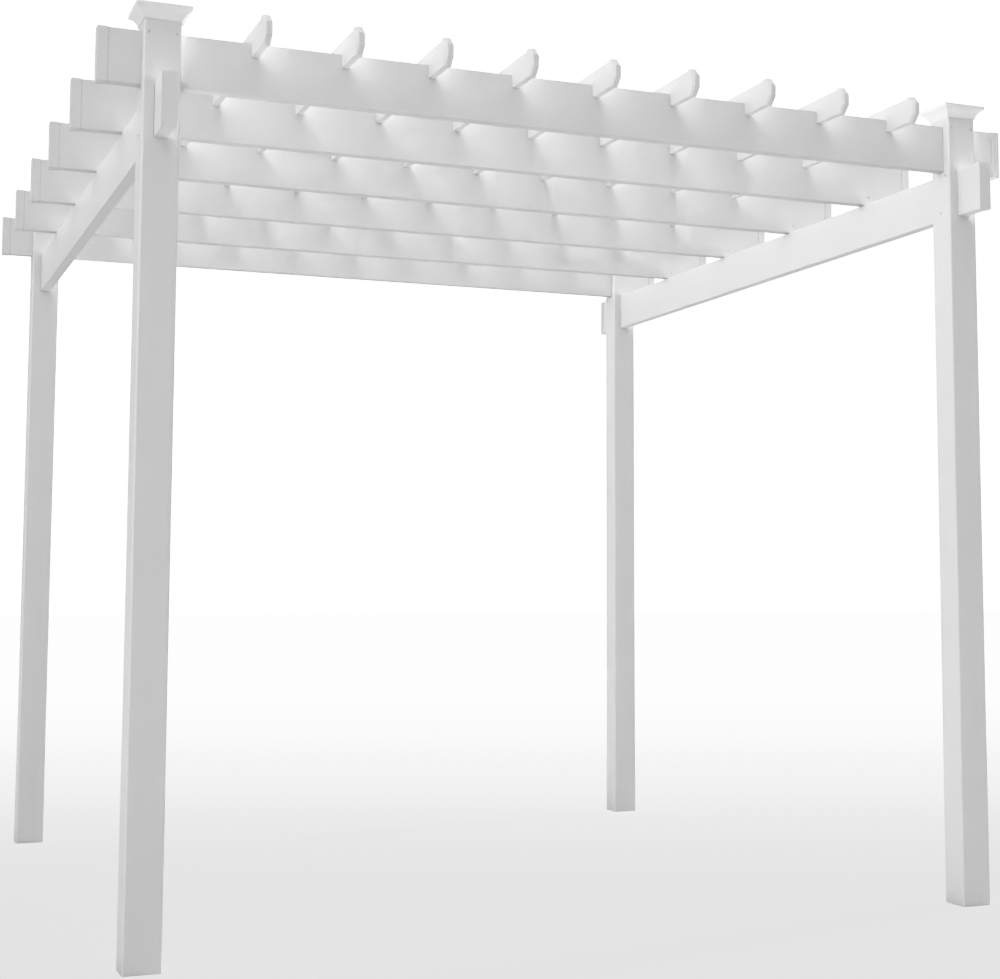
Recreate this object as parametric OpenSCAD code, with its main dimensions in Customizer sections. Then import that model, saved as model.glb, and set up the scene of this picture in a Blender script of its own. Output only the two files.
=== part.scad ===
// Free-standing white vinyl pergola: an open frame of hollow extrusions.
// Four square posts carry two side beams that run front to back through routed slots.
// Six rafters lie across the beams, the first and last of them also threaded through the posts.
// Nine notched slats straddle the rafters. Posts and rail ends are closed by moulded caps.
// Origin: on the ground at the middle of the plan. X to the right, Y to the back, Z up.

/* [Plan] */
// Post centre to post centre, left to right
span_x = 2580; // [1800:10:3600]
// Post centre to post centre, front to back
span_y = 2690; // [1800:10:3600]
// Overhang of the rafters past the outer post faces
rafter_overhang = 118; // [90:1:260]
// Overhang of the beams past the outer post faces
beam_overhang = 124; // [90:1:260]
// Overhang of the slats past the outer post faces
slat_overhang = 134; // [90:1:260]

/* [Posts] */
// Outside width of the square post
post_w = 101.6; // [95:0.1:130]
// Wall of the post
post_wall = 3.8; // [2.5:0.1:6]
// Outside corner radius of the post
post_r = 6; // [4:0.5:9]
// Clear height between the rafters and the post cap
post_rise = 25; // [5:1:80]

/* [Side beams] */
// Clear height under the beams
beam_z = 2202; // [1900:1:2600]
// Height of the beam section
beam_h = 150; // [120:1:180]
// Thickness of the beam section
beam_t = 38; // [30:0.5:50]

/* [Rafters] */
// Height of the rafter section
rafter_h = 150; // [120:1:180]
// Thickness of the rafter section
rafter_t = 38; // [30:0.5:50]

/* [Slats] */
// Height of the slat section
slat_h = 78; // [66:1:90]
// Thickness of the slat section
slat_t = 21; // [18:0.5:38]
// Depth of the notch that drops a slat over a rafter
notch_depth = 40; // [20:1:45]

/* [Profiles and fits] */
// Wall of beams and rafters
rail_wall = 2.4; // [1.8:0.1:3.5]
// Wall of the slats
slat_wall = 2; // [1.6:0.1:2.5]
// Edge radius of the rails
rail_r = 2.5; // [1:0.5:4]
// Gap around a rail in its routed slot, sides and top
slot_gap = 0.8; // [0.5:0.1:4]
// Corner radius of a routed slot
slot_r = 3; // [1:0.5:3]
// Gap under a rafter in its routed slot
slot_drop = 0.8; // [0.5:0.1:4]
// Gap between a slat notch and the rafter sides
notch_gap = 0.4; // [0.3:0.1:2]
// Gap between a cap and the piece inside it
cap_gap = 0.3; // [0.2:0.05:0.6]

/* [Caps] */
// Reach of the post cap past the post faces
cap_reach = 24.7; // [15:0.1:40]
// Straight collar of the post cap
cap_collar = 4; // [3:0.5:12]
// Height of the flared part of the post cap
cap_flare = 26; // [18:0.5:40]
// Depth of the hollow in the flare of the post cap
cap_cove = 4; // [2:0.5:6]
// Height of the upright band of the post cap
cap_band = 11; // [8:0.5:24]
// Rise of the post cap roof
cap_rise = 22; // [10:1:40]
// Wall of all caps
cap_wall = 1.6; // [1.2:0.1:3]
// Length of a beam or rafter end cap
rail_skirt = 28; // [15:1:36]
// Length of a slat end cap that grips the slat
slat_skirt = 10; // [6:1:30]
// Cut of the upper and lower corner of a slat end
nose_cut = 23; // [12:0.5:30]
// Side bevel of a slat end
nose_bevel = 6; // [4:0.5:8]

/* [Hidden] */
$fn = 48;
eps = 1;
rafter_count = 6;
slat_count = 9;
beam_top = beam_z + beam_h;
rafter_z = beam_top;
rafter_top = rafter_z + rafter_h;
slat_z = rafter_top - notch_depth;
cap_z = rafter_top + post_rise;
post_top = cap_z + cap_collar + cap_flare - cap_wall;
rafter_len = span_x + post_w + 2 * rafter_overhang;
beam_len = span_y + post_w + 2 * beam_overhang;
slat_reach = span_y + post_w + 2 * slat_overhang;
slat_seat = nose_cut + nose_bevel * sqrt(2);
slat_len = slat_reach - 2 * slat_seat;
rafter_pitch = span_y / (rafter_count - 1);
slat_pitch = span_x / (slat_count + 1);
cap_fit = cap_gap + cap_wall;
collar_w = post_w + 2 * cap_fit;
cap_w = post_w + 2 * cap_reach;
vinyl = [0.9, 0.9, 0.89];

function rafter_y(i) = -span_y / 2 + (i - 1) * rafter_pitch;
function slat_x(i) = (i - (slat_count + 1) / 2) * slat_pitch;

// Rectangle with rounded corners, centred
module round_rect(w, h, r) {
    square([w - 2 * r, h], center = true);
    square([w, h - 2 * r], center = true);
    for (sx = [-1, 1], sy = [-1, 1])
        translate([sx * (w / 2 - r), sy * (h / 2 - r)])
            circle(r = r);
}

// Section of a hollow extrusion
module tube_section(w, h, wall, r) {
    difference() {
        round_rect(w, h, r);
        square([w - 2 * wall, h - 2 * wall], center = true);
    }
}

// Stands a section up along Y, centred, its lower edge on the ground
module along_y(len, h) {
    translate([0, 0, h / 2])
        rotate([90, 0, 0])
            linear_extrude(height = len, center = true)
                children();
}

// Stands a section up along X, centred, its lower edge on the ground
module along_x(len, h) {
    translate([0, 0, h / 2])
        rotate([90, 0, 90])
            linear_extrude(height = len, center = true)
                children();
}

// Post at a corner of the plan, with its routed slots
module post(sx, sy) {
    color(vinyl)
        translate([sx * span_x / 2, sy * span_y / 2, 0])
            difference() {
                linear_extrude(height = post_top)
                    tube_section(post_w, post_w, post_wall, post_r);
                translate([0, 0, beam_z])
                    along_y(post_w + 2 * eps, beam_h + slot_gap)
                        round_rect(beam_t + 2 * slot_gap, beam_h + slot_gap, slot_r);
                translate([0, 0, rafter_z - slot_drop])
                    along_x(post_w + 2 * eps, rafter_h + slot_gap + slot_drop)
                        round_rect(rafter_t + 2 * slot_gap, rafter_h + slot_gap + slot_drop, slot_r);
            }
}

// Upright profile of the post cap, its flare hollowed to a cove
module cap_profile() {
    lip = cap_collar + cap_flare;
    run = (cap_w - collar_w) / 2;
    chord = sqrt(run * run + cap_flare * cap_flare);
    cove_r = chord * chord / (8 * cap_cove) + cap_cove / 2;
    out = (cove_r - cap_cove) / chord;
    middle = (cap_w + collar_w) / 4;
    difference() {
        polygon([[-collar_w / 2, 0], [collar_w / 2, 0], [collar_w / 2, cap_collar],
            [cap_w / 2, lip], [cap_w / 2, lip + cap_band], [0, lip + cap_band + cap_rise],
            [-cap_w / 2, lip + cap_band], [-cap_w / 2, lip], [-collar_w / 2, cap_collar]]);
        for (s = [-1, 1])
            intersection() {
                translate([s * (middle + out * cap_flare), cap_collar + cap_flare / 2 - out * run])
                    circle(r = cove_r);
                translate([s * (collar_w + cap_w) / 2, cap_collar + cap_flare / 2])
                    square([cap_w, cap_flare], center = true);
            }
    }
}

// Post cap: mitred from two crossing profiles, bored for the post, hollow above it
module cap(sx, sy) {
    pocket = post_w + 2 * cap_gap;
    hollow = post_w - 2 * post_wall - 8;
    seat = post_top - cap_z;
    color(vinyl)
        translate([sx * span_x / 2, sy * span_y / 2, cap_z])
            difference() {
                intersection() {
                    rotate([90, 0, 0])
                        linear_extrude(height = cap_w + 2 * eps, center = true)
                            cap_profile();
                    rotate([90, 0, 90])
                        linear_extrude(height = cap_w + 2 * eps, center = true)
                            cap_profile();
                }
                translate([0, 0, seat / 2 - eps])
                    cube([pocket, pocket, seat + 2 * eps], center = true);
                translate([0, 0, seat + cap_band / 2])
                    cube([hollow, hollow, cap_band + 2 * eps], center = true);
            }
}

// Beam from front to back, through the posts of one side
module beam(sx) {
    color(vinyl)
        translate([sx * span_x / 2, 0, beam_z])
            along_y(beam_len - 2 * cap_wall, beam_h)
                tube_section(beam_t, beam_h, rail_wall, rail_r);
}

// Rafter from left to right on top of the beams
module rafter(i) {
    color(vinyl)
        translate([0, rafter_y(i), rafter_z])
            along_x(rafter_len - 2 * cap_wall, rafter_h)
                tube_section(rafter_t, rafter_h, rail_wall, rail_r);
}

// Slat from front to back, notched over every rafter
module slat(i) {
    color(vinyl)
        translate([slat_x(i), 0, slat_z])
            difference() {
                along_y(slat_len, slat_h)
                    tube_section(slat_t, slat_h, slat_wall, rail_r);
                for (k = [1 : rafter_count])
                    translate([0, rafter_y(k), notch_depth / 2 - eps])
                        cube([slat_t + 2 * eps, rafter_t + 2 * notch_gap, notch_depth + 2 * eps], center = true);
            }
}

// Plain end cap of a rail that points along -Y, its outer face at y = 0
module plain_end(t, h) {
    difference() {
        translate([0, rail_skirt / 2, -cap_fit])
            along_y(rail_skirt, h + 2 * cap_fit)
                round_rect(t + 2 * cap_fit, h + 2 * cap_fit, rail_r + cap_fit);
        translate([0, cap_wall + rail_skirt / 2, -cap_gap])
            along_y(rail_skirt, h + 2 * cap_gap)
                round_rect(t + 2 * cap_gap, h + 2 * cap_gap, rail_r + cap_gap);
    }
}

// Prism whose front face has bevelled sides, the face tilted about X
module nose_prism(w, reach, bevel, inset, tilt) {
    rotate([tilt, 0, 0])
        translate([0, -inset, 0])
            linear_extrude(height = 2 * reach, center = true)
                polygon([[-w / 2 + bevel, 0], [w / 2 - bevel, 0], [w / 2, bevel],
                    [w / 2, reach], [-w / 2, reach], [-w / 2, bevel]]);
}

// Bar along +Y whose front end has both corners cut and all cut faces bevelled at the sides
module nose_bar(w, h, len, cut, bevel) {
    inset = (h / 2 - cut) / sqrt(2);
    reach = len + h;
    intersection() {
        translate([0, len / 2, 0])
            cube([w, len, h], center = true);
        nose_prism(w, reach, bevel, 0, 0);
        nose_prism(w, reach, bevel, inset, 45);
        nose_prism(w, reach, bevel, inset, -45);
    }
}

// End cap of a slat that points along -Y: a hollow nose, then a pocket for the slat's end
module nose_end(t, h) {
    shell = cap_fit + slat_wall;
    mitre = (2 - sqrt(2)) * shell;
    w = t + 2 * cap_fit;
    e = h + 2 * cap_fit;
    translate([0, 0, h / 2])
        difference() {
            nose_bar(w, e, slat_seat + slat_skirt, nose_cut, nose_bevel);
            translate([0, shell, 0])
                nose_bar(w - 2 * shell, e - 2 * shell, slat_seat, nose_cut - mitre, nose_bevel - mitre);
            translate([0, slat_seat + slat_skirt, 0])
                cube([t + 2 * cap_gap, 2 * slat_skirt, h + 2 * cap_gap], center = true);
        }
}

module beam_ends(sy) {
    color(vinyl)
        for (sx = [-1, 1])
            translate([sx * span_x / 2, 0, beam_z])
                mirror([0, sy > 0 ? 1 : 0, 0])
                    translate([0, -beam_len / 2, 0])
                        plain_end(beam_t, beam_h);
}

module rafter_ends(sx) {
    color(vinyl)
        for (i = [1 : rafter_count])
            translate([0, rafter_y(i), rafter_z])
                rotate([0, 0, sx > 0 ? 90 : -90])
                    translate([0, -rafter_len / 2, 0])
                        plain_end(rafter_t, rafter_h);
}

module slat_ends(sy) {
    color(vinyl)
        for (i = [1 : slat_count])
            translate([slat_x(i), 0, slat_z])
                mirror([0, sy > 0 ? 1 : 0, 0])
                    translate([0, -slat_reach / 2, 0])
                        nose_end(slat_t, slat_h);
}

post(-1, -1);  // post_front_left
post(1, -1);  // post_front_right
post(-1, 1);  // post_back_left
post(1, 1);  // post_back_right
cap(-1, -1);  // cap_front_left
cap(1, -1);  // cap_front_right
cap(-1, 1);  // cap_back_left
cap(1, 1);  // cap_back_right
beam(-1);  // beam_left
beam(1);  // beam_right
rafter(1);  // rafter_1
rafter(2);  // rafter_2
rafter(3);  // rafter_3
rafter(4);  // rafter_4
rafter(5);  // rafter_5
rafter(6);  // rafter_6
slat(1);  // slat_1
slat(2);  // slat_2
slat(3);  // slat_3
slat(4);  // slat_4
slat(5);  // slat_5
slat(6);  // slat_6
slat(7);  // slat_7
slat(8);  // slat_8
slat(9);  // slat_9
beam_ends(-1);  // beam_ends_front
beam_ends(1);  // beam_ends_back
rafter_ends(-1);  // rafter_ends_left
rafter_ends(1);  // rafter_ends_right
slat_ends(-1);  // slat_ends_front
slat_ends(1);  // slat_ends_back
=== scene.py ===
"""Looks of a white vinyl pergola: vinyl finishes, screw heads and a plain studio, around the CAD frame."""
import math

import bmesh
import bpy
from mathutils import Matrix, Vector


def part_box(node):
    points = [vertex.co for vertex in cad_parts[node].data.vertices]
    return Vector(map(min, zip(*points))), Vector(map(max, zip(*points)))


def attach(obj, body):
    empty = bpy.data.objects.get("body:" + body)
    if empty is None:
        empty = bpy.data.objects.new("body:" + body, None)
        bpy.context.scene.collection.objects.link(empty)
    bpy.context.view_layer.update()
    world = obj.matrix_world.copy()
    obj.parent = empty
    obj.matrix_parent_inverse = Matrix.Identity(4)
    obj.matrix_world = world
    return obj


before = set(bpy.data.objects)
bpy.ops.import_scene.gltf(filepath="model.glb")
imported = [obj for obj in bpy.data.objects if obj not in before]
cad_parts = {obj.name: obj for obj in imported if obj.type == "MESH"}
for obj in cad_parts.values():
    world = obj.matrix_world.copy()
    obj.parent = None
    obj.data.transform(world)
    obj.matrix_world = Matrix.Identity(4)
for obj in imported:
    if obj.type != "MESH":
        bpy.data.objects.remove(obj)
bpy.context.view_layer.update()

bl_info = {
    "name": "Vinyl Pergola Looks",
    "version": (1, 0, 0),
    "blender": (4, 5, 0),
    "location": "View3D > Sidebar > Pergola",
    "description": "Finishes the frame of a white vinyl pergola and sets it on a pale studio floor",
    "category": "Object",
}

BODY = "root"
SIDES = ("left", "right")
ENDS = ("front", "back")
POSTS = [f"post_{end}_{side}" for end in ENDS for side in SIDES]
POST_CAPS = [f"cap_{end}_{side}" for end in ENDS for side in SIDES]
BEAMS = [f"beam_{side}" for side in SIDES]
RAFTERS = [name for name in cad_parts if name.startswith("rafter_") and "ends" not in name]
SLATS = [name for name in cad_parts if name.startswith("slat_") and "ends" not in name]
RAIL_CAPS = [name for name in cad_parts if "_ends_" in name]

# the camera's place, turn and lens, for an image of 1000 x 979 pixels
IMAGE_W = 1000
IMAGE_H = 979
CAMERA_AT = (-2.0914, -6.2110, 0.9797)
CAMERA_YAW = -0.4063
CAMERA_PITCH = 0.0959
CAMERA_ROLL = 0.0009
FOCAL_PX = 1794.73
AXIS_PX = (594.2, 420.5)
SENSOR_MM = 36.0
VIEW_END = 500.0

# light in and light shown; the brightest tones are eased off, so that sunlit white keeps its shading
TONE_TOP = 1.8
TONES = ((0.0, 0.0), (0.72, 0.72), (0.95, 0.875), (1.25, 0.95), (TONE_TOP, 1.0))

# lamps in degrees: turn from +X towards +Y, rise above the horizon and angular size
CARD_TURN = -25
SIDE_LAMP = (180, 15, 100)
FRONT_LAMP = (-145, 30, 80)
TOP_LAMP = (0, 90, 100)

# light panel in metres: its place, the point it faces, and its width and height
PANEL_AT = (-7.0, -4.5, 2.2)
PANEL_AIM = (0.0, 0.0, 1.6)
PANEL_SIZE = (7.0, 3.0)

# floor: half its width, and the places along the camera's heading where its tone changes, in metres
FLOOR_HALF = 80.0
FLOOR_BEHIND, FLOOR_NEAR, FLOOR_FAR = -14.0, -1.0, 12.0
NEAR_TONE = 0.95
WHITE_TONE = 2.0

# backdrop: where its tone changes along the camera's heading, as the cosine of the angle to it
SKY_BEHIND, SKY_AHEAD = -0.4, 0.8

# vinyl and steel: bend of light, relief, film of dust, scuffs and how much smoother moulded caps are
IOR = 1.53
BUMP_STRENGTH = 0.35
DUST = 0.12
SCUFFS = 0.05
CAP_SHINE = 0.06

# how the lines of an extrusion are drawn out along its own length
DRAWN = 0.012
ALONG_X, ALONG_Y, ALONG_Z = (DRAWN, 1.0, 1.0), (1.0, DRAWN, 1.0), (1.0, 1.0, DRAWN)

# pan head: sides, outline as shares of half width and of rise, cross recess as shares of width and rise
HEAD_SIDES = 24
HEAD_OUTLINE = ((1.0, 0.0), (1.0, 0.22), (0.93, 0.55), (0.76, 0.83), (0.52, 1.0))
CROSS_ARM, CROSS_HALF, CROSS_FLOOR, CROSS_TAPER = 0.2, 0.055, 0.4, 0.8


class PergolaFinish(bpy.types.PropertyGroup):
    """Colours and surface of the vinyl."""

    vinyl_colour: bpy.props.FloatVectorProperty(
        name="Vinyl colour", description="Colour of the extruded posts and rails", subtype="COLOR",
        size=3, min=0.0, max=1.0, default=(0.80, 0.80, 0.80))
    # painted light: the caps are lighter than the vinyl partly through their own moulded tone and partly as
    # painted light standing in for light from the ground below
    cap_colour_and_light: bpy.props.FloatVectorProperty(
        name="Cap colour", description="Colour of the moulded post caps", subtype="COLOR",
        size=3, min=0.0, max=1.0, default=(0.94, 0.94, 0.94))
    soil_colour: bpy.props.FloatVectorProperty(
        name="Soil colour", description="Colour of the soil that rain splashes on the posts",
        subtype="COLOR", size=3, min=0.0, max=1.0, default=(0.36, 0.36, 0.355))
    soil_height: bpy.props.FloatProperty(
        name="Soil height", description="Height up to which the posts are soiled", unit="LENGTH",
        min=0.01, max=2.0, default=0.55)
    # painted shade: the seam line is a dark line painted beside the rafter caps, standing in for the shadow
    # at each cap's rim
    seam_shadow: bpy.props.FloatProperty(
        name="Seam grime", description="Depth of the line of grime beside the rafter caps",
        subtype="FACTOR", min=0.0, max=1.0, default=0.55)
    seam_width: bpy.props.FloatProperty(
        name="Seam width", description="Width of the line of grime beside the rafter caps", unit="LENGTH",
        min=0.001, max=0.02, default=0.0045)
    roughness: bpy.props.FloatProperty(
        name="Roughness", description="Mean roughness of the vinyl", subtype="FACTOR",
        min=0.0, max=1.0, default=0.42)


class PergolaScrews(bpy.types.PropertyGroup):
    """Colour and sizes of the pan head screws."""

    steel_colour: bpy.props.FloatVectorProperty(
        name="Steel colour", description="Colour of the stainless steel", subtype="COLOR",
        size=3, min=0.0, max=1.0, default=(0.74, 0.74, 0.73))
    head_width: bpy.props.FloatProperty(
        name="Head width", description="Diameter of a screw head", unit="LENGTH",
        min=0.004, max=0.02, default=0.0095)
    head_rise: bpy.props.FloatProperty(
        name="Head rise", description="Height of a screw head", unit="LENGTH",
        min=0.001, max=0.006, default=0.0026)
    rafter_lift: bpy.props.FloatProperty(
        name="Rafter screw height", description="Height of the rafter screws above the beam",
        unit="LENGTH", min=0.01, max=0.1, default=0.028)
    beam_inset: bpy.props.FloatProperty(
        name="Beam screw inset", description="Distance of the post side screws from the beam edges",
        unit="LENGTH", min=0.01, max=0.06, default=0.014)
    side_lead: bpy.props.FloatProperty(
        name="Side screw lead",
        description="Distance of the upper post side screws from the middle, outwards",
        unit="LENGTH", min=0.0, max=0.04, default=0.029)
    cap_drop: bpy.props.FloatProperty(
        name="Cap screw drop", description="Distance of the upper post screws below the cap",
        unit="LENGTH", min=0.01, max=0.1, default=0.034)
    cap_inset: bpy.props.FloatProperty(
        name="Cap screw inset", description="Distance of the upper post screws from the post corner",
        unit="LENGTH", min=0.008, max=0.05, default=0.013)


class PergolaStage(bpy.types.PropertyGroup):
    """Floor and lights."""

    floor_colour: bpy.props.FloatVectorProperty(
        name="Floor colour", description="Colour of the studio floor", subtype="COLOR",
        size=3, min=0.0, max=1.0, default=(0.16, 0.16, 0.16))
    floor_glow: bpy.props.FloatProperty(
        name="Floor glow", description="Share of plain white that the camera sees on the floor",
        subtype="FACTOR", min=0.0, max=1.0, default=0.8)
    backdrop_dark: bpy.props.FloatProperty(
        name="Backdrop tone", description="Tone of floor and backdrop on the camera's own side",
        subtype="FACTOR", min=0.0, max=1.0, default=0.58)
    key_strength: bpy.props.FloatProperty(
        name="Key strength", description="Strength of the key light on the faces in view",
        min=0.0, max=50.0, default=1.6)
    key_bounce: bpy.props.FloatProperty(
        name="Key bounce",
        description="Strength of the key light in what lit faces pass on to their neighbours",
        min=0.0, max=50.0, default=8.2)
    key_later: bpy.props.FloatProperty(
        name="Key later bounces", description="Strength of the key light after more than one bounce",
        min=0.0, max=50.0, default=5.3)
    key_turn: bpy.props.FloatProperty(
        name="Key turn", description="Direction that the key light comes from, from +X towards +Y",
        subtype="ANGLE", default=math.radians(14))
    key_rise: bpy.props.FloatProperty(
        name="Key rise", description="Height of the key light above the horizon", subtype="ANGLE",
        default=math.radians(37))
    key_size: bpy.props.FloatProperty(
        name="Key size", description="Angular size of the key light", subtype="ANGLE",
        default=math.radians(6))
    card_bounce: bpy.props.FloatProperty(
        name="Card bounce",
        description="Strength of the light that a card in front passes on between the rails",
        min=0.0, max=50.0, default=6.5)
    sky_strength: bpy.props.FloatProperty(
        name="Sky strength", description="Strength of the even light from all sides",
        min=0.0, max=5.0, default=0.36)
    side_strength: bpy.props.FloatProperty(
        name="Side strength", description="Strength of the soft light from the left",
        min=0.0, max=20.0, default=1.22)
    front_strength: bpy.props.FloatProperty(
        name="Front strength", description="Strength of the soft light from the front left",
        min=0.0, max=20.0, default=0.25)
    panel_power: bpy.props.FloatProperty(
        name="Panel power", description="Power of the light panel in front on the left, in watts",
        min=0.0, max=1000.0, default=60.0)
    top_strength: bpy.props.FloatProperty(
        name="Top strength", description="Strength of the soft light from above",
        min=0.0, max=20.0, default=0.66)


def feed(tree, socket, value):
    """Links another socket to an input, or sets the input to a plain value."""
    if isinstance(value, bpy.types.NodeSocket):
        tree.links.new(value, socket)
    else:
        socket.default_value = value


def new_node(tree, kind, **settings):
    """Adds a node; plain settings are attributes, and those in inputs are sockets or their values."""
    node = tree.nodes.new(kind)
    inputs = settings.pop("inputs", {})
    for name, value in settings.items():
        setattr(node, name, value)
    for name, value in inputs.items():
        feed(tree, node.inputs[name], value)
    return node


def math_node(tree, operation, first, second, third=None):
    """A math node on numbers or sockets; gives its result."""
    node = tree.nodes.new("ShaderNodeMath")
    node.operation = operation
    for socket, value in zip(node.inputs, (first, second, third)):
        if value is not None:
            feed(tree, socket, value)
    return node.outputs[0]


def spread(tree, value, low, high, to_low=0.0, to_high=1.0, smooth=True):
    """Maps a value from one range to another, clamped."""
    kind = "SMOOTHSTEP" if smooth else "LINEAR"
    node = new_node(tree, "ShaderNodeMapRange", interpolation_type=kind, inputs={
        "Value": value, "From Min": low, "From Max": high, "To Min": to_low, "To Max": to_high})
    return node.outputs["Result"]


def noise(tree, vector, scale, detail, rough):
    """Noise over a vector, from 0 to 1."""
    node = new_node(tree, "ShaderNodeTexNoise", inputs={
        "Vector": vector, "Scale": scale, "Detail": detail, "Roughness": rough})
    return node.outputs["Fac"]


def tint(tree, colour, mask, other):
    """Mixes a colour with another by a mask."""
    node = new_node(tree, "ShaderNodeMix", data_type="RGBA")
    for index, value in ((0, mask), (6, colour), (7, other)):
        feed(tree, node.inputs[index], value)
    return node.outputs[2]


def new_group(name, inputs, outputs):
    """A shader node group with its sockets; gives the tree, what it is given and what it puts out."""
    tree = bpy.data.node_groups.new(name, "ShaderNodeTree")
    for socket_name, kind, value in inputs:
        socket = tree.interface.new_socket(name=socket_name, in_out="INPUT", socket_type=kind)
        socket.default_value = value
    for socket_name, kind in outputs:
        tree.interface.new_socket(name=socket_name, in_out="OUTPUT", socket_type=kind)
    given = tree.nodes.new("NodeGroupInput").outputs
    return tree, given, tree.nodes.new("NodeGroupOutput").inputs


def swing(tree, value, depth, base):
    """A base number that swings up and down by half a depth, led by a value from 0 to 1."""
    return math_node(tree, "MULTIPLY_ADD", math_node(tree, "SUBTRACT", value, 0.5), depth, base)


def vinyl_skin_group():
    """Vinyl surface: slow drift of tone, lines along the extrusion, fine peel and uneven roughness."""
    tree, given, out = new_group(
        "vinyl_skin",
        [("Colour", "NodeSocketColor", (0.8, 0.8, 0.8, 1.0)),
         ("Stretch", "NodeSocketVector", (1.0, 1.0, 1.0)), ("Lines", "NodeSocketFloat", 0.02),
         ("Drift", "NodeSocketFloat", 0.03), ("Mean Roughness", "NodeSocketFloat", 0.4)],
        [("Colour", "NodeSocketColor"), ("Roughness", "NodeSocketFloat"), ("Height", "NodeSocketFloat")])
    place = new_node(tree, "ShaderNodeTexCoord").outputs["Object"]
    drawn = new_node(tree, "ShaderNodeVectorMath", operation="MULTIPLY")
    tree.links.new(place, drawn.inputs[0])
    tree.links.new(given["Stretch"], drawn.inputs[1])
    lines = noise(tree, drawn.outputs[0], scale=160.0, detail=3.0, rough=0.6)
    drift = noise(tree, place, scale=1.7, detail=3.0, rough=0.55)
    peel = noise(tree, place, scale=420.0, detail=1.0, rough=0.5)
    shade = swing(tree, lines, given["Lines"], 1.0)
    shade = swing(tree, drift, given["Drift"], shade)
    colour = new_node(tree, "ShaderNodeVectorMath", operation="SCALE")
    tree.links.new(given["Colour"], colour.inputs[0])
    tree.links.new(shade, colour.inputs["Scale"])
    tree.links.new(colour.outputs[0], out["Colour"])
    uneven = swing(tree, drift, 0.22, given["Mean Roughness"])
    uneven = swing(tree, lines, 0.1, uneven)
    tree.links.new(uneven, out["Roughness"])
    peel_share, line_share = 0.25, 0.75
    relief = math_node(tree, "MULTIPLY", lines, line_share)
    tree.links.new(math_node(tree, "MULTIPLY_ADD", peel, peel_share, relief), out["Height"])
    return tree


def dirt_and_shade_group():
    """Dirt and painted shade: soil splashed up from the ground, a dust film on upward faces, sparse scuffs
    and the painted seam shadow that it is given.
    """
    tree, given, out = new_group(
        "dirt_and_shade",
        [("Colour", "NodeSocketColor", (0.8, 0.8, 0.8, 1.0)), ("Roughness", "NodeSocketFloat", 0.4),
         ("Soil Colour", "NodeSocketColor", (0.36, 0.36, 0.35, 1.0)),
         ("Soil Height", "NodeSocketFloat", 0.5), ("Soil", "NodeSocketFloat", 0.3),
         ("Dust", "NodeSocketFloat", 0.1), ("Scuffs", "NodeSocketFloat", 0.06),
         ("Seam", "NodeSocketFloat", 0.0)],
        [("Colour", "NodeSocketColor"), ("Roughness", "NodeSocketFloat")])
    place = new_node(tree, "ShaderNodeTexCoord").outputs["Object"]
    about = new_node(tree, "ShaderNodeNewGeometry")
    height = new_node(tree, "ShaderNodeSeparateXYZ")
    tree.links.new(about.outputs["Position"], height.inputs[0])
    facing = new_node(tree, "ShaderNodeSeparateXYZ")
    tree.links.new(about.outputs["Normal"], facing.inputs[0])
    cloud = noise(tree, place, scale=7.0, detail=4.0, rough=0.6)
    grit = noise(tree, place, scale=130.0, detail=3.0, rough=0.65)
    streaks = noise(tree, place, scale=24.0, detail=5.0, rough=0.7)
    edge = swing(tree, cloud, 0.35, height.outputs["Z"])
    soiled = spread(tree, edge, given["Soil Height"], 0.0)
    soiled = math_node(tree, "MULTIPLY", soiled, spread(tree, grit, 0.25, 0.75, to_low=0.7))
    soiled = math_node(tree, "MULTIPLY", soiled, given["Soil"])
    dusty = spread(tree, facing.outputs["Z"], 0.4, 0.95)
    dusty = math_node(tree, "MULTIPLY", dusty, spread(tree, cloud, 0.3, 0.75))
    dusty = math_node(tree, "MULTIPLY", dusty, given["Dust"])
    scuff = math_node(tree, "MULTIPLY", spread(tree, streaks, 0.62, 0.74), given["Scuffs"])
    marked = math_node(tree, "MAXIMUM", math_node(tree, "MAXIMUM", soiled, dusty), scuff)
    # painted shade: the seam mask darkens the rail in the soil colour, as a painted shadow beside the caps
    marked = math_node(tree, "MAXIMUM", marked, given["Seam"])
    tree.links.new(tint(tree, given["Colour"], marked, given["Soil Colour"]), out["Colour"])
    duller = 0.4
    tree.links.new(math_node(tree, "MULTIPLY_ADD", marked, duller, given["Roughness"]), out["Roughness"])
    return tree


def cap_seam_group():
    """Painted shade beside the push-on caps: a thin broken dark line across a rail near each end, standing
    in for the shadow at each cap's rim.
    """
    tree, given, out = new_group(
        "cap_seam",
        [("Along", "NodeSocketVector", (1.0, 0.0, 0.0)), ("Low Edge", "NodeSocketFloat", -1.0),
         ("High Edge", "NodeSocketFloat", 1.0), ("Width", "NodeSocketFloat", 0.004),
         ("Depth", "NodeSocketFloat", 0.5)],
        [("Mask", "NodeSocketFloat")])
    place = new_node(tree, "ShaderNodeTexCoord").outputs["Object"]
    along = new_node(tree, "ShaderNodeVectorMath", operation="DOT_PRODUCT")
    tree.links.new(place, along.inputs[0])
    tree.links.new(given["Along"], along.inputs[1])
    away = []
    for edge in ("Low Edge", "High Edge"):
        beside = math_node(tree, "SUBTRACT", along.outputs["Value"], given[edge])
        away.append(math_node(tree, "ABSOLUTE", beside, 0.0))
    line = spread(tree, math_node(tree, "MINIMUM", *away), 0.0, given["Width"], to_low=1.0, to_high=0.0)
    blotches = noise(tree, place, scale=45.0, detail=3.0, rough=0.6)
    broken = spread(tree, blotches, 0.35, 0.6, to_low=0.45)
    line = math_node(tree, "MULTIPLY", math_node(tree, "MULTIPLY", line, broken), given["Depth"])
    tree.links.new(line, out["Mask"])
    return tree


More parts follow.
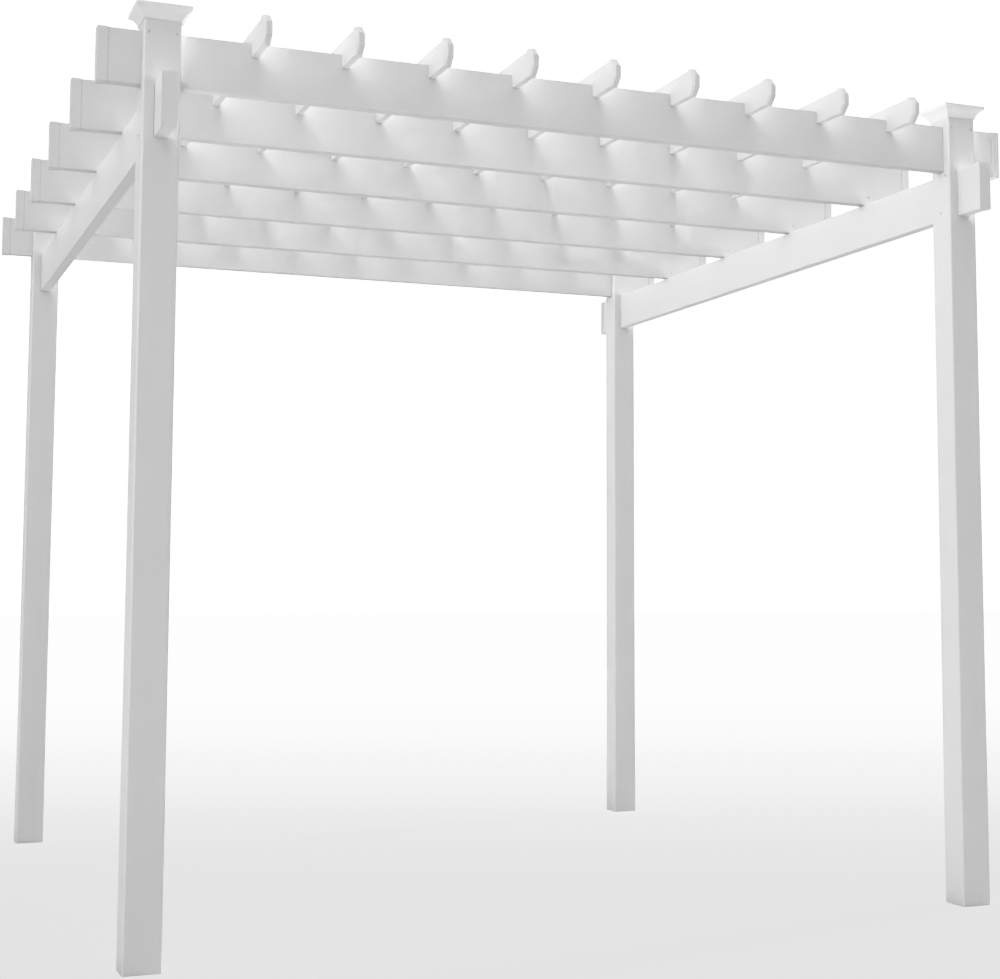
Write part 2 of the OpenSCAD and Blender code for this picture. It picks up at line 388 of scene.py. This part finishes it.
def finish_material(name, colour, stretch, lines, drift, roughness, relief, soil=0.0, metal=0.0, seam=None):
    """Vinyl, or steel where metal is 1: the skin group, then the group of dirt and painted shade, into one
    shader.

    A seam is the direction of a rail and the places of its two cap edges along it; beside each edge the
    rail gets a thin line of painted shade.
    """
    finish = bpy.context.scene.pergola_finish
    material = bpy.data.materials.new(name)
    material.use_nodes = True
    tree = material.node_tree
    shader = tree.nodes["Principled BSDF"]
    shader.inputs["IOR"].default_value = IOR
    shader.inputs["Metallic"].default_value = metal
    groups = bpy.data.node_groups
    skin = new_node(tree, "ShaderNodeGroup", node_tree=groups["vinyl_skin"], inputs={
        "Colour": (*colour, 1.0), "Stretch": stretch, "Lines": lines, "Drift": drift,
        "Mean Roughness": roughness})
    dirt_and_shade = new_node(tree, "ShaderNodeGroup", node_tree=groups["dirt_and_shade"], inputs={
        "Colour": skin.outputs["Colour"], "Roughness": skin.outputs["Roughness"],
        "Soil Colour": (*finish.soil_colour, 1.0), "Soil Height": finish.soil_height,
        "Soil": soil, "Dust": DUST, "Scuffs": SCUFFS})
    # painted shade: a thin dark line beside each cap edge, laid in with the dirt
    if seam:
        along, low, high = seam
        shadow = new_node(tree, "ShaderNodeGroup", node_tree=groups["cap_seam"], inputs={
            "Along": along, "Low Edge": low, "High Edge": high,
            "Width": finish.seam_width, "Depth": finish.seam_shadow})
        tree.links.new(shadow.outputs["Mask"], dirt_and_shade.inputs["Seam"])
    bump = new_node(tree, "ShaderNodeBump", inputs={
        "Strength": BUMP_STRENGTH, "Distance": relief, "Height": skin.outputs["Height"]})
    tree.links.new(dirt_and_shade.outputs["Colour"], shader.inputs["Base Color"])
    tree.links.new(dirt_and_shade.outputs["Roughness"], shader.inputs["Roughness"])
    tree.links.new(bump.outputs["Normal"], shader.inputs["Normal"])
    return material


def dress(names, material):
    """Gives CAD nodes a material in every slot."""
    for name in names:
        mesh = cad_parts[name].data
        if not mesh.materials:
            mesh.materials.append(material)
        for index in range(len(mesh.materials)):
            mesh.materials[index] = material


def ensure_groups():
    """Builds the node groups once."""
    builders = (("vinyl_skin", vinyl_skin_group), ("dirt_and_shade", dirt_and_shade_group), ("cap_seam", cap_seam_group))
    for name, build in builders:
        if name not in bpy.data.node_groups:
            build()


class PERGOLA_OT_posts(bpy.types.Operator):
    """Finish the posts as upright extrusions, soiled at the foot"""

    bl_idname = "pergola.posts"
    bl_label = "Posts"

    def execute(self, context):
        ensure_groups()
        finish = context.scene.pergola_finish
        dress(POSTS, finish_material(
            "post_vinyl_finish", finish.vinyl_colour, stretch=ALONG_Z, lines=0.035, drift=0.05,
            roughness=finish.roughness, relief=0.0002, soil=0.08))
        return {"FINISHED"}


class PERGOLA_OT_rails(bpy.types.Operator):
    """Finish the beams, rafters and slats as extrusions along their own length"""

    bl_idname = "pergola.rails"
    bl_label = "Beams, rafters and slats"

    def execute(self, context):
        ensure_groups()
        finish = context.scene.pergola_finish
        # painted shade along the rafters beside each end cap
        cap_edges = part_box("rafter_ends_left")[1].x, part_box("rafter_ends_right")[0].x
        rafter_seam = ((1.0, 0.0, 0.0), *cap_edges)
        for name, nodes, stretch, seam in (
                ("beam_vinyl_finish", BEAMS, ALONG_Y, None),
                ("rafter_vinyl_finish", RAFTERS, ALONG_X, rafter_seam),
                ("slat_vinyl_finish", SLATS, ALONG_Y, None)):
            dress(nodes, finish_material(
                name, finish.vinyl_colour, stretch=stretch, lines=0.03, drift=0.045,
                roughness=finish.roughness, relief=0.0002, seam=seam))
        return {"FINISHED"}


class PERGOLA_OT_caps(bpy.types.Operator):
    """Finish the post caps and rail ends as satin mouldings"""

    bl_idname = "pergola.caps"
    bl_label = "Caps"

    def execute(self, context):
        ensure_groups()
        finish = context.scene.pergola_finish
        # painted light: the post caps take the lighter cap colour, part moulded tone and part painted light
        # from below
        for name, nodes, colour in (("post_cap_finish", POST_CAPS, finish.cap_colour_and_light),
                                    ("rail_cap_finish", RAIL_CAPS, finish.vinyl_colour)):
            dress(nodes, finish_material(
                name, colour, stretch=(0.5, 0.5, 0.5), lines=0.02, drift=0.03,
                roughness=finish.roughness - CAP_SHINE, relief=0.00012))
        return {"FINISHED"}


def screw_head(bm, at, outward, width, rise):
    """Pan head with a cross recess, standing on a face at a point."""
    made = []
    rings = []
    for reach, up in HEAD_OUTLINE:
        ring = []
        for k in range(HEAD_SIDES):
            turn = 2 * math.pi * k / HEAD_SIDES
            radius = reach * width / 2
            ring.append(bm.verts.new((radius * math.cos(turn), radius * math.sin(turn), up * rise)))
        rings.append(ring)
        made += ring
    for low, high in zip(rings, rings[1:]):
        for k in range(HEAD_SIDES):
            after = (k + 1) % HEAD_SIDES
            bm.faces.new((low[k], low[after], high[after], high[k]))
    arm, half, deep = width * CROSS_ARM, width * CROSS_HALF, rise * CROSS_FLOOR
    corners = [(half, half), (half, arm), (-half, arm), (-half, half), (-arm, half), (-arm, -half),
               (-half, -half), (-half, -arm), (half, -arm), (half, -half), (arm, -half), (arm, half)]
    mouth = [bm.verts.new((x, y, rise)) for x, y in corners]
    floor = [bm.verts.new((x * CROSS_TAPER, y * CROSS_TAPER, deep)) for x, y in corners]
    made += mouth + floor
    count = len(corners)
    rim = rings[-1]
    edges = [bm.edges.new((mouth[k], mouth[(k + 1) % count])) for k in range(count)]
    edges += [bm.edges.get((rim[k], rim[(k + 1) % HEAD_SIDES])) for k in range(HEAD_SIDES)]
    bmesh.ops.triangle_fill(bm, use_beauty=True, edges=edges)
    for k in range(count):
        bm.faces.new((mouth[(k + 1) % count], mouth[k], floor[k], floor[(k + 1) % count]))
    bm.faces.new(list(reversed(floor)))
    bm.faces.new(list(reversed(rings[0])))
    turn = Vector((0.0, 0.0, 1.0)).rotation_difference(Vector(outward)).to_matrix().to_4x4()
    bmesh.ops.transform(bm, matrix=Matrix.Translation(at) @ turn, verts=made)


def screw_piece(name, places, material, sizes):
    """One object that holds the screw heads of a group of like places."""
    bm = bmesh.new()
    for at, outward in places:
        screw_head(bm, at, outward, sizes.head_width, sizes.head_rise)
    bmesh.ops.recalc_face_normals(bm, faces=bm.faces)
    mesh = bpy.data.meshes.new(name)
    bm.to_mesh(mesh)
    bm.free()
    mesh.materials.append(material)
    piece = bpy.data.objects.new(name, mesh)
    bpy.context.scene.collection.objects.link(piece)
    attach(piece, BODY)


class PERGOLA_OT_screws(bpy.types.Operator):
    """Drive the pan head screws into rafters and posts"""

    bl_idname = "pergola.screws"
    bl_label = "Screws"

    def execute(self, context):
        ensure_groups()
        sizes = context.scene.pergola_screws
        steel = finish_material(
            "screw_steel", sizes.steel_colour, stretch=(1.0, 1.0, 1.0), lines=0.08, drift=0.06,
            roughness=0.34, relief=0.0001, metal=1.0)
        beam_low, beam_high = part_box("beam_left")[0].z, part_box("beam_left")[1].z
        rafter_places = []
        for rafter in RAFTERS[1:-1]:
            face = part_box(rafter)[0].y
            for beam in BEAMS:
                low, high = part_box(beam)
                at = ((low.x + high.x) / 2, face, beam_high + sizes.rafter_lift)
                rafter_places.append((at, (0, -1, 0)))
        screw_piece("rafter_screws", rafter_places, steel, sizes)
        side_places, upper_places = [], []
        for post in POSTS:
            low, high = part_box(post)
            cap_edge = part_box(post.replace("post", "cap"))[0].z
            middle = (low.y + high.y) / 2
            front = "front" in post
            lead = -sizes.side_lead if front else sizes.side_lead
            for face, outward in ((low.x, (-1, 0, 0)), (high.x, (1, 0, 0))):
                side_places.append(((face, middle, beam_low + sizes.beam_inset), outward))
                side_places.append(((face, middle + lead, beam_high - sizes.beam_inset), outward))
            face, outward = (low.y, (0, -1, 0)) if front else (high.y, (0, 1, 0))
            for x in (low.x + sizes.cap_inset, high.x - sizes.cap_inset):
                upper_places.append(((x, face, cap_edge - sizes.cap_drop), outward))
        screw_piece("post_side_screws", side_places, steel, sizes)
        screw_piece("post_upper_screws", upper_places, steel, sizes)
        return {"FINISHED"}


def ahead(tree, vector):
    """How far a place or direction lies along the camera's heading, on the level."""
    node = new_node(tree, "ShaderNodeVectorMath", operation="DOT_PRODUCT")
    tree.links.new(vector, node.inputs[0])
    node.inputs[1].default_value = (-math.sin(CAMERA_YAW), math.cos(CAMERA_YAW), 0.0)
    return node.outputs["Value"]


def floor_material(stage):
    """Pale floor that lights the frame from below and shows as near white to the camera."""
    material = bpy.data.materials.new("studio_floor")
    material.use_nodes = True
    tree = material.node_tree
    shader = tree.nodes["Principled BSDF"]
    shader.inputs["Roughness"].default_value = 0.9
    place = new_node(tree, "ShaderNodeTexCoord").outputs["Object"]
    cloud = noise(tree, place, scale=3.0, detail=4.0, rough=0.6)
    mottle = spread(tree, cloud, 0.3, 0.7, to_high=0.06)
    darker = tuple(c * 0.9 for c in stage.floor_colour)
    mottled = tint(tree, (*stage.floor_colour, 1.0), mottle, (*darker, 1.0))
    tree.links.new(mottled, shader.inputs["Base Color"])
    glow = new_node(tree, "ShaderNodeEmission")
    behind = stage.backdrop_dark / stage.floor_glow
    near = spread(tree, ahead(tree, place), FLOOR_BEHIND, FLOOR_NEAR, behind, NEAR_TONE)
    far = spread(tree, ahead(tree, place), FLOOR_NEAR, FLOOR_FAR, near, WHITE_TONE)
    tree.links.new(far, glow.inputs["Strength"])
    in_view = new_node(tree, "ShaderNodeLightPath").outputs["Is Camera Ray"]
    seen = math_node(tree, "MULTIPLY", in_view, stage.floor_glow)
    mix = new_node(tree, "ShaderNodeMixShader")
    tree.links.new(seen, mix.inputs[0])
    tree.links.new(shader.outputs[0], mix.inputs[1])
    tree.links.new(glow.outputs[0], mix.inputs[2])
    tree.links.new(mix.outputs[0], tree.nodes["Material Output"].inputs["Surface"])
    return material


def sky_light(scene, strength, dark):
    """Even light from all sides; the camera sees white behind the frame and pale grey on the other side."""
    world = bpy.data.worlds.new("studio_sky")
    world.use_nodes = True
    scene.world = world
    tree = world.node_tree
    background = tree.nodes["Background"]
    background.inputs["Color"].default_value = (1.0, 1.0, 1.0, 1.0)
    seen = new_node(tree, "ShaderNodeLightPath").outputs["Is Camera Ray"]
    heading = ahead(tree, new_node(tree, "ShaderNodeTexCoord").outputs["Generated"])
    backdrop = spread(tree, heading, SKY_BEHIND, SKY_AHEAD, dark, WHITE_TONE)
    shown = spread(tree, seen, 0.0, 1.0, strength, backdrop, smooth=False)
    tree.links.new(shown, background.inputs["Strength"])


def add_lamp(scene, name, turn, rise, size, strength, bounce=None, later=None):
    """A far lamp from a direction; bounce and later are its strength in the light that faces pass on."""
    lamp = bpy.data.lights.new(name, "SUN")
    lamp.energy = strength
    lamp.angle = size
    if bounce is not None:
        lamp.energy = 1.0
        lamp.use_nodes = True
        tree = lamp.node_tree
        depth = new_node(tree, "ShaderNodeLightPath").outputs["Ray Depth"]
        passed = spread(tree, depth, 1.0, 2.0, strength, bounce, smooth=False)
        passed = spread(tree, depth, 2.0, 3.0, passed, later, smooth=False)
        tree.links.new(passed, tree.nodes["Emission"].inputs["Strength"])
    holder = bpy.data.objects.new(name, lamp)
    level = math.cos(rise)
    source = Vector((level * math.cos(turn), level * math.sin(turn), math.sin(rise)))
    holder.matrix_world = source.to_track_quat("Z", "Y").to_matrix().to_4x4()
    scene.collection.objects.link(holder)


def add_panel(scene, name, at, aim, size, power):
    """A wide light panel near the frame, turned to a point; the camera looks through it."""
    lamp = bpy.data.lights.new(name, "AREA")
    lamp.shape = "RECTANGLE"
    lamp.size, lamp.size_y = size
    lamp.energy = power
    holder = bpy.data.objects.new(name, lamp)
    turn = (Vector(at) - Vector(aim)).to_track_quat("Z", "Y").to_matrix().to_4x4()
    holder.matrix_world = Matrix.Translation(at) @ turn
    holder.visible_camera = False
    scene.collection.objects.link(holder)


def add_camera(scene):
    """The camera at the photograph's viewing angle."""
    lens = bpy.data.cameras.new("photo_camera")
    lens.sensor_fit = "HORIZONTAL"
    lens.sensor_width = SENSOR_MM
    lens.lens = SENSOR_MM * FOCAL_PX / IMAGE_W
    lens.shift_x = (IMAGE_W / 2 - AXIS_PX[0]) / IMAGE_W
    lens.shift_y = (AXIS_PX[1] - IMAGE_H / 2) / IMAGE_W
    lens.clip_end = VIEW_END
    camera = bpy.data.objects.new("photo_camera", lens)
    turn = Matrix.Rotation(CAMERA_YAW, 4, "Z") @ Matrix.Rotation(CAMERA_PITCH, 4, "X")
    turn = turn @ Matrix.Rotation(CAMERA_ROLL, 4, "Y") @ Matrix.Rotation(math.pi / 2, 4, "X")
    camera.matrix_world = Matrix.Translation(CAMERA_AT) @ turn
    scene.collection.objects.link(camera)
    scene.camera = camera


def ease_highlights(view):
    """Standard view with the brightest tones rolled off."""
    view.view_transform = "Standard"
    view.use_curve_mapping = True
    curves = view.curve_mapping
    curves.white_level = (TONE_TOP, TONE_TOP, TONE_TOP)
    curves.extend = "HORIZONTAL"
    tone = curves.curves[3]
    for _ in TONES[2:]:
        tone.points.new(0.5, 0.5)
    for point, (given, shown) in zip(tone.points, TONES):
        point.location = (given / TONE_TOP, shown)
        point.handle_type = "VECTOR"
    curves.update()


class PERGOLA_OT_stage(bpy.types.Operator):
    """Lay the pale floor, light it softly and set the camera"""

    bl_idname = "pergola.stage"
    bl_label = "Studio stage"

    def execute(self, context):
        scene, stage = context.scene, context.scene.pergola_stage
        bm = bmesh.new()
        bmesh.ops.create_grid(bm, x_segments=8, y_segments=8, size=FLOOR_HALF)
        mesh = bpy.data.meshes.new("studio_floor")
        bm.to_mesh(mesh)
        bm.free()
        mesh.materials.append(floor_material(stage))
        floor = bpy.data.objects.new("studio_floor", mesh)
        scene.collection.objects.link(floor)
        sky_light(scene, stage.sky_strength, stage.backdrop_dark)
        add_lamp(scene, "key_light", stage.key_turn, stage.key_rise, stage.key_size,
                 stage.key_strength, stage.key_bounce, stage.key_later)
        add_lamp(scene, "card_light", math.radians(CARD_TURN), stage.key_rise, stage.key_size,
                 0.0, stage.card_bounce, 0.0)
        for name, lamp, strength in (("side_light", SIDE_LAMP, stage.side_strength),
                                     ("front_light", FRONT_LAMP, stage.front_strength),
                                     ("top_light", TOP_LAMP, stage.top_strength)):
            add_lamp(scene, name, *map(math.radians, lamp), strength)
        add_panel(scene, "panel_light", PANEL_AT, PANEL_AIM, PANEL_SIZE, stage.panel_power)
        add_camera(scene)
        ease_highlights(scene.view_settings)
        return {"FINISHED"}


class PERGOLA_PT_panel(bpy.types.Panel):
    """Sidebar panel with the steps of the pergola's looks"""

    bl_idname = "PERGOLA_PT_panel"
    bl_label = "Vinyl Pergola"
    bl_space_type = "VIEW_3D"
    bl_region_type = "UI"
    bl_category = "Pergola"

    def draw(self, context):
        for name, _ in GROUPS:
            group = getattr(context.scene, name)
            column = self.layout.column(align=True)
            for key in group.bl_rna.properties.keys():
                if key not in ("rna_type", "name"):
                    column.prop(group, key)
        for operator in OPERATORS:
            self.layout.operator(operator.bl_idname)


GROUPS = (("pergola_finish", PergolaFinish), ("pergola_screws", PergolaScrews),
          ("pergola_stage", PergolaStage))
OPERATORS = (PERGOLA_OT_posts, PERGOLA_OT_rails, PERGOLA_OT_caps, PERGOLA_OT_screws, PERGOLA_OT_stage)


def register():
    """Registers the properties, operators and panel."""
    for name, group in GROUPS:
        bpy.utils.register_class(group)
        setattr(bpy.types.Scene, name, bpy.props.PointerProperty(type=group))
    for operator in OPERATORS:
        bpy.utils.register_class(operator)
    bpy.utils.register_class(PERGOLA_PT_panel)


def unregister():
    """Removes what register added."""
    bpy.utils.unregister_class(PERGOLA_PT_panel)
    for operator in reversed(OPERATORS):
        bpy.utils.unregister_class(operator)
    for name, group in reversed(GROUPS):
        delattr(bpy.types.Scene, name)
        bpy.utils.unregister_class(group)


def main():
    """Finishes the frame piece by piece and sets the stage."""
    register()
    bpy.ops.pergola.posts()
    bpy.ops.pergola.rails()
    bpy.ops.pergola.caps()
    bpy.ops.pergola.screws()
    bpy.ops.pergola.stage()


if __name__ == "__main__":
    main()
